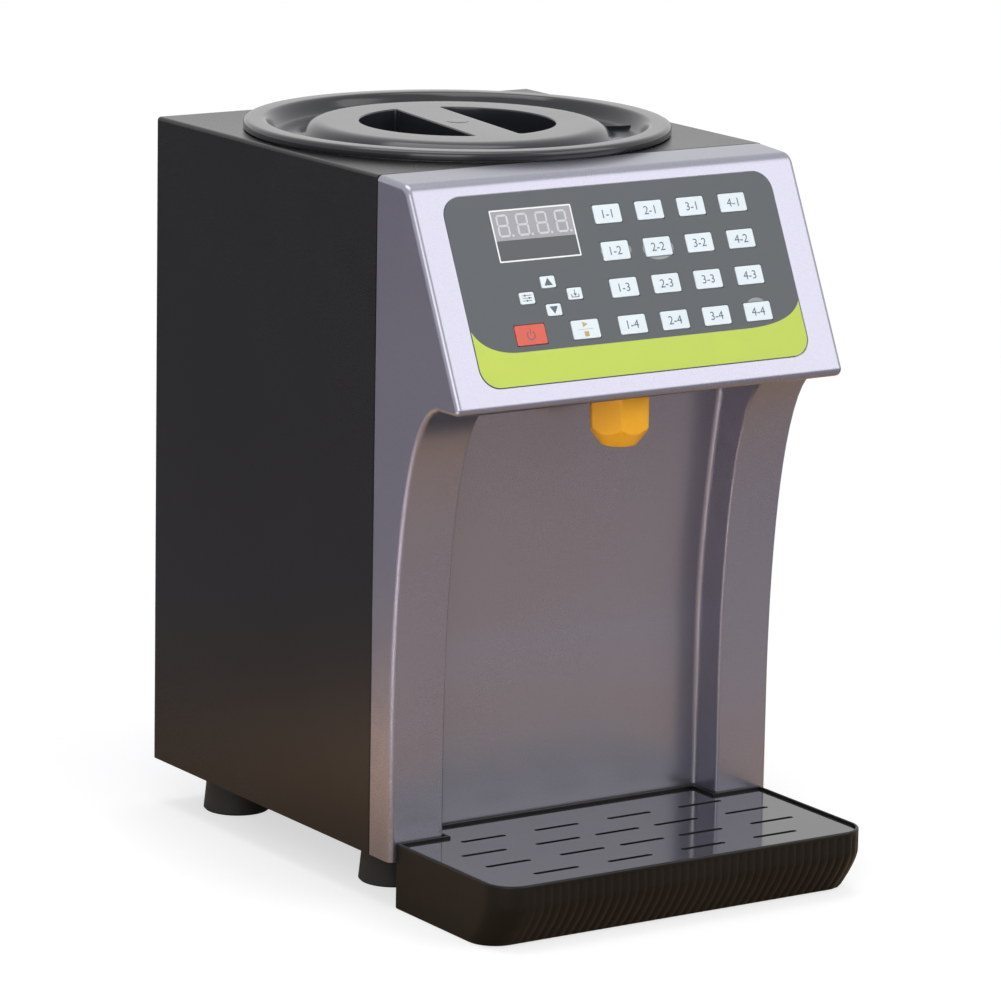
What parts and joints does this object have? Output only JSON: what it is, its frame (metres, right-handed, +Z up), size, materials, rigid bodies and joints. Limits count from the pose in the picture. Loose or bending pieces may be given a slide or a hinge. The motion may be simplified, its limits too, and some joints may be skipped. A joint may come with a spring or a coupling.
{
  "type": "fructose dispenser",
  "caption": "Countertop syrup dispenser with keypad head, cup bay, lift-off lid, tank, gear pump, nozzle and pull-out drip tray.",
  "frame": {"origin": "on the floor below the middle of the overall box", "axes": "+Z up, front with keypad and drip tray towards -Y, +X to the right seen from the front"},
  "size_m": [0.26, 0.3764, 0.42],
  "materials": {
    "casing_black": "satin powder coat",
    "fascia_silver": "metallic silver paint",
    "panel_silver": "metallic silver paint",
    "label_print": "printed polyester",
    "window_tint": "clear tinted",
    "display_black": "moulded",
    "board_green": "glass-epoxy laminate",
    "board_blue": "glass-epoxy laminate",
    "bright_steel": "zinc plated",
    "tank_steel": "brushed stainless",
    "cable_grey": "extruded",
    "seal_silicone": "moulded silicone",
    "heater_silicone": "moulded silicone",
    "hose_silicone": "translucent silicone",
    "plastic_ivory": "moulded",
    "plastic_black": "moulded",
    "pump_alloy": "machined",
    "motor_grey": "painted",
    "gear_brass": "machined",
    "nozzle_orange": "moulded",
    "foot_rubber": "moulded",
    "lid_black": "satin moulded",
    "tray_black": "moulded",
    "grid_gloss": "gloss moulded",
    "rocker_red": "moulded",
    "key_white": "printed",
    "key_red": "printed"
  },
  "bodies": {
    "body": {"casing_shell": "casing_black", "rear_panel": "casing_black", "base_plate": "casing_black", "front_fascia": "fascia_silver", "bay_panel": "panel_silver", "control_label": "label_print", "display_window": "window_tint", "display_module": "display_black", "control_board": "board_green", "snap_domes": "bright_steel", "m3_screws": "bright_steel", "m4_screws": "bright_steel", "ribbon_cable": "cable_grey", "syrup_tank": "tank_steel", "tank_seal": "seal_silicone", "tank_heater": "heater_silicone", "thermostat": "plastic_ivory", "tank_outlet": "bright_steel", "inlet_hose": "hose_silicone", "pump_body": "pump_alloy", "pump_cover": "pump_alloy", "pump_motor": "motor_grey", "motor_bracket": "bright_steel", "outlet_hose": "hose_silicone", "nozzle_holder": "plastic_ivory", "nozzle": "nozzle_orange", "power_supply": "pump_alloy", "driver_board": "board_blue", "inlet_socket": "plastic_black", "switch_housing": "plastic_black", "feet": "foot_rubber"},
    "lid": {"lid": "lid_black"},
    "drip_tray": {"drip_tray": "tray_black"},
    "drip_grid": {"drip_grid": "grid_gloss"},
    "drive_gear": {"drive_gear": "gear_brass"},
    "driven_gear": {"driven_gear": "gear_brass"},
    "switch_rocker": {"switch_rocker": "rocker_red"},
    "key_1_1": {"key_1_1": "key_white"},
    "key_2_1": {"key_2_1": "key_white"},
    "key_3_1": {"key_3_1": "key_white"},
    "key_4_1": {"key_4_1": "key_white"},
    "key_1_2": {"key_1_2": "key_white"},
    "key_2_2": {"key_2_2": "key_white"},
    "key_3_2": {"key_3_2": "key_white"},
    "key_4_2": {"key_4_2": "key_white"},
    "key_1_3": {"key_1_3": "key_white"},
    "key_2_3": {"key_2_3": "key_white"},
    "key_3_3": {"key_3_3": "key_white"},
    "key_4_3": {"key_4_3": "key_white"},
    "key_1_4": {"key_1_4": "key_white"},
    "key_2_4": {"key_2_4": "key_white"},
    "key_3_4": {"key_3_4": "key_white"},
    "key_4_4": {"key_4_4": "key_white"},
    "key_up": {"key_up": "key_white"},
    "key_down": {"key_down": "key_white"},
    "key_set": {"key_set": "key_white"},
    "key_save": {"key_save": "key_white"},
    "key_run": {"key_run": "key_white"},
    "key_power": {"key_power": "key_red"}
  },
  "joints": [
    {"name": "lid_lift", "type": "slide", "parent": "body", "child": "lid", "axis": [0, 0, 1], "range_m": [0, 0.08]},
    {"name": "tray_slide", "type": "slide", "parent": "body", "child": "drip_tray", "axis": [0, -1, 0], "range_m": [0, 0.12]},
    {"name": "grid_lift", "type": "slide", "parent": "drip_tray", "child": "drip_grid", "axis": [0, 0, 1], "range_m": [0, 0.04]},
    {"name": "drive_spin", "type": "hinge", "parent": "body", "child": "drive_gear", "pos_m": [-0.012, 0.06227, 0.1], "axis": [0, 1, 0], "continuous": true},
    {"name": "driven_spin", "type": "hinge", "parent": "body", "child": "driven_gear", "pos_m": [0.012, 0.06227, 0.1], "axis": [0, 1, 0], "continuous": true},
    {"name": "switch_rock", "type": "hinge", "parent": "body", "child": "switch_rocker", "pos_m": [-0.08, 0.17967, 0.108], "axis": [1, 0, 0], "range_deg": [0, 20]},
    {"name": "key_1_1_press", "type": "slide", "parent": "body", "child": "key_1_1", "axis": [0, 0.9026, -0.4305], "range_m": [0, 0.0004], "stiffness_N_per_m": 1000, "springref_m": -0.0005},
    {"name": "key_2_1_press", "type": "slide", "parent": "body", "child": "key_2_1", "axis": [0, 0.9026, -0.4305], "range_m": [0, 0.0004], "stiffness_N_per_m": 1000, "springref_m": -0.0005},
    {"name": "key_3_1_press", "type": "slide", "parent": "body", "child": "key_3_1", "axis": [0, 0.9026, -0.4305], "range_m": [0, 0.0004], "stiffness_N_per_m": 1000, "springref_m": -0.0005},
    {"name": "key_4_1_press", "type": "slide", "parent": "body", "child": "key_4_1", "axis": [0, 0.9026, -0.4305], "range_m": [0, 0.0004], "stiffness_N_per_m": 1000, "springref_m": -0.0005},
    {"name": "key_1_2_press", "type": "slide", "parent": "body", "child": "key_1_2", "axis": [0, 0.9026, -0.4305], "range_m": [0, 0.0004], "stiffness_N_per_m": 1000, "springref_m": -0.0005},
    {"name": "key_2_2_press", "type": "slide", "parent": "body", "child": "key_2_2", "axis": [0, 0.9026, -0.4305], "range_m": [0, 0.0004], "stiffness_N_per_m": 1000, "springref_m": -0.0005},
    {"name": "key_3_2_press", "type": "slide", "parent": "body", "child": "key_3_2", "axis": [0, 0.9026, -0.4305], "range_m": [0, 0.0004], "stiffness_N_per_m": 1000, "springref_m": -0.0005},
    {"name": "key_4_2_press", "type": "slide", "parent": "body", "child": "key_4_2", "axis": [0, 0.9026, -0.4305], "range_m": [0, 0.0004], "stiffness_N_per_m": 1000, "springref_m": -0.0005},
    {"name": "key_1_3_press", "type": "slide", "parent": "body", "child": "key_1_3", "axis": [0, 0.9026, -0.4305], "range_m": [0, 0.0004], "stiffness_N_per_m": 1000, "springref_m": -0.0005},
    {"name": "key_2_3_press", "type": "slide", "parent": "body", "child": "key_2_3", "axis": [0, 0.9026, -0.4305], "range_m": [0, 0.0004], "stiffness_N_per_m": 1000, "springref_m": -0.0005},
    {"name": "key_3_3_press", "type": "slide", "parent": "body", "child": "key_3_3", "axis": [0, 0.9026, -0.4305], "range_m": [0, 0.0004], "stiffness_N_per_m": 1000, "springref_m": -0.0005},
    {"name": "key_4_3_press", "type": "slide", "parent": "body", "child": "key_4_3", "axis": [0, 0.9026, -0.4305], "range_m": [0, 0.0004], "stiffness_N_per_m": 1000, "springref_m": -0.0005},
    {"name": "key_1_4_press", "type": "slide", "parent": "body", "child": "key_1_4", "axis": [0, 0.9026, -0.4305], "range_m": [0, 0.0004], "stiffness_N_per_m": 1000, "springref_m": -0.0005},
    {"name": "key_2_4_press", "type": "slide", "parent": "body", "child": "key_2_4", "axis": [0, 0.9026, -0.4305], "range_m": [0, 0.0004], "stiffness_N_per_m": 1000, "springref_m": -0.0005},
    {"name": "key_3_4_press", "type": "slide", "parent": "body", "child": "key_3_4", "axis": [0, 0.9026, -0.4305], "range_m": [0, 0.0004], "stiffness_N_per_m": 1000, "springref_m": -0.0005},
    {"name": "key_4_4_press", "type": "slide", "parent": "body", "child": "key_4_4", "axis": [0, 0.9026, -0.4305], "range_m": [0, 0.0004], "stiffness_N_per_m": 1000, "springref_m": -0.0005},
    {"name": "key_up_press", "type": "slide", "parent": "body", "child": "key_up", "axis": [0, 0.9026, -0.4305], "range_m": [0, 0.0004], "stiffness_N_per_m": 1000, "springref_m": -0.0005},
    {"name": "key_down_press", "type": "slide", "parent": "body", "child": "key_down", "axis": [0, 0.9026, -0.4305], "range_m": [0, 0.0004], "stiffness_N_per_m": 1000, "springref_m": -0.0005},
    {"name": "key_set_press", "type": "slide", "parent": "body", "child": "key_set", "axis": [0, 0.9026, -0.4305], "range_m": [0, 0.0004], "stiffness_N_per_m": 1000, "springref_m": -0.0005},
    {"name": "key_save_press", "type": "slide", "parent": "body", "child": "key_save", "axis": [0, 0.9026, -0.4305], "range_m": [0, 0.0004], "stiffness_N_per_m": 1000, "springref_m": -0.0005},
    {"name": "key_run_press", "type": "slide", "parent": "body", "child": "key_run", "axis": [0, 0.9026, -0.4305], "range_m": [0, 0.0004], "stiffness_N_per_m": 1000, "springref_m": -0.0005},
    {"name": "key_power_press", "type": "slide", "parent": "body", "child": "key_power", "axis": [0, 0.9026, -0.4305], "range_m": [0, 0.0004], "stiffness_N_per_m": 1000, "springref_m": -0.0005}
  ],
  "couplings": [
    {"joint": "driven_spin", "follows": "drive_spin", "ratio": -1}
  ]
}
